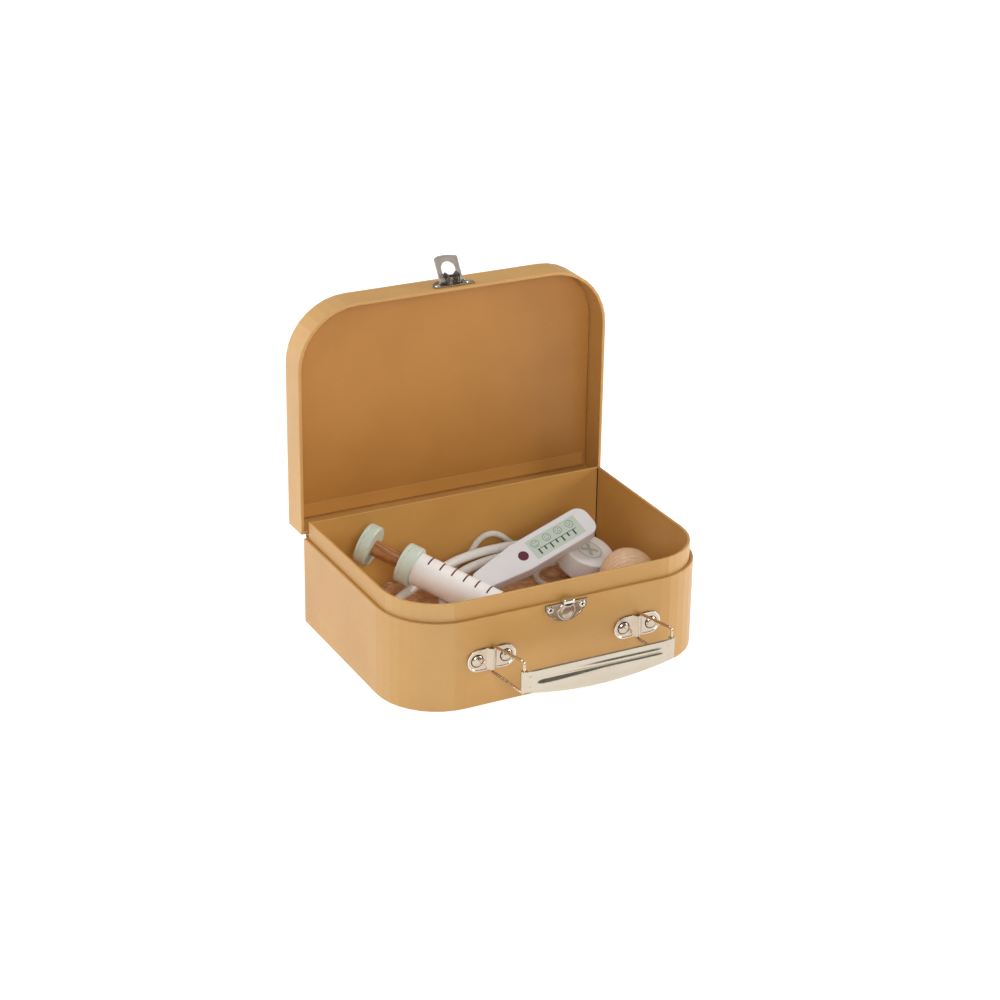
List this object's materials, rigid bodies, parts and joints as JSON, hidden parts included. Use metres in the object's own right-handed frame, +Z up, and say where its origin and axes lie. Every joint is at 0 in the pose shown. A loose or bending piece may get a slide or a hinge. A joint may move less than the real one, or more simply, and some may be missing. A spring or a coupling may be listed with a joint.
{
  "type": "toy doctor case",
  "caption": "Toy doctor's suitcase in kraft board with its lid open, nickelled latch and swing handle, holding a wooden syringe, thermometer, stethoscope and reflex hammer.",
  "frame": {"origin": "centre of the base's footprint on the table", "axes": "+X to the right seen from the latch, +Y to the hinge, +Z up"},
  "size_m": [0.2528, 0.2441, 0.2621],
  "materials": {
    "board": "matte kraft board",
    "paper": "matte kraft paper",
    "nickel": "warm nickel plate",
    "green_paint": "satin sage green lacquer on wood",
    "white_paint": "satin white lacquer on wood",
    "brown_wood": "oiled dark wood",
    "beech": "bare sanded beech",
    "white_plastic": "smooth white tube",
    "rope": "braided off-white cord"
  },
  "bodies": {
    "case": {"base_wall": "board", "base_floor": "board", "base_liner": "board", "floor_lining": "board", "hinge_tape_base": "paper", "catch_plate": "nickel", "catch_cup": "nickel", "catch_hook": "nickel", "catch_rivets": "nickel", "handle_bracket_left": "nickel", "handle_bracket_right": "nickel", "bracket_rivets": "nickel", "syringe_flange": "green_paint", "syringe_barrel": "white_paint", "syringe_nozzle": "white_paint", "thermometer_body": "white_paint", "stethoscope_yoke": "white_plastic", "headset_tube_long": "white_plastic", "headset_tube_short": "white_plastic", "ear_tip_long": "white_plastic", "ear_tip_short": "white_plastic", "stethoscope_rope": "rope", "chest_piece": "white_paint", "chest_piece_disc": "white_paint", "hammer_head": "beech", "hammer_handle": "beech", "paper_bed": "paper"},
    "lid": {"lid_wall": "board", "lid_panel": "board", "lid_lining": "board", "hinge_tape_lid": "paper", "latch_plate": "nickel", "latch_bridge": "nickel", "latch_pin": "nickel", "latch_rivets": "nickel"},
    "hasp": {"latch_hasp": "nickel"},
    "left_bail": {"bail_left": "nickel"},
    "right_bail": {"bail_right": "nickel"},
    "grip": {"handle_grip": "nickel"},
    "plunger": {"plunger_knob": "green_paint", "plunger_rod": "brown_wood", "plunger_piston": "brown_wood"}
  },
  "joints": [
    {"name": "lid_hinge", "type": "hinge", "parent": "case", "child": "lid", "pos_m": [0, 0.0886, 0.0687], "axis": [-1, 0, 0], "range_deg": [-90, 90]},
    {"name": "hasp_hinge", "type": "hinge", "parent": "lid", "child": "hasp", "pos_m": [0, 0.0977, 0.2472], "axis": [1, 0, 0], "range_deg": [-30, 125.5]},
    {"name": "left_bail_hinge", "type": "hinge", "parent": "case", "child": "left_bail", "pos_m": [-0.0585, -0.08815, 0.036], "axis": [0, 0, 1], "range_deg": [-86.5, 73.5]},
    {"name": "right_bail_hinge", "type": "hinge", "parent": "case", "child": "right_bail", "pos_m": [0.0585, -0.08815, 0.036], "axis": [0, 0, 1], "range_deg": [-86.5, 73.5]},
    {"name": "grip_pivot", "type": "hinge", "parent": "left_bail", "child": "grip", "pos_m": [-0.05403, -0.1274, 0.036], "axis": [0, 0, 1], "range_deg": [-73.5, 86.5]},
    {"name": "plunger_slide", "type": "slide", "parent": "case", "child": "plunger", "axis": [0.6198, -0.7309, -0.2857], "range_m": [0, 0.0235]}
  ],
  "couplings": [
    {"joint": "right_bail_hinge", "follows": "left_bail_hinge", "ratio": 1},
    {"joint": "grip_pivot", "follows": "left_bail_hinge", "ratio": -1}
  ]
}
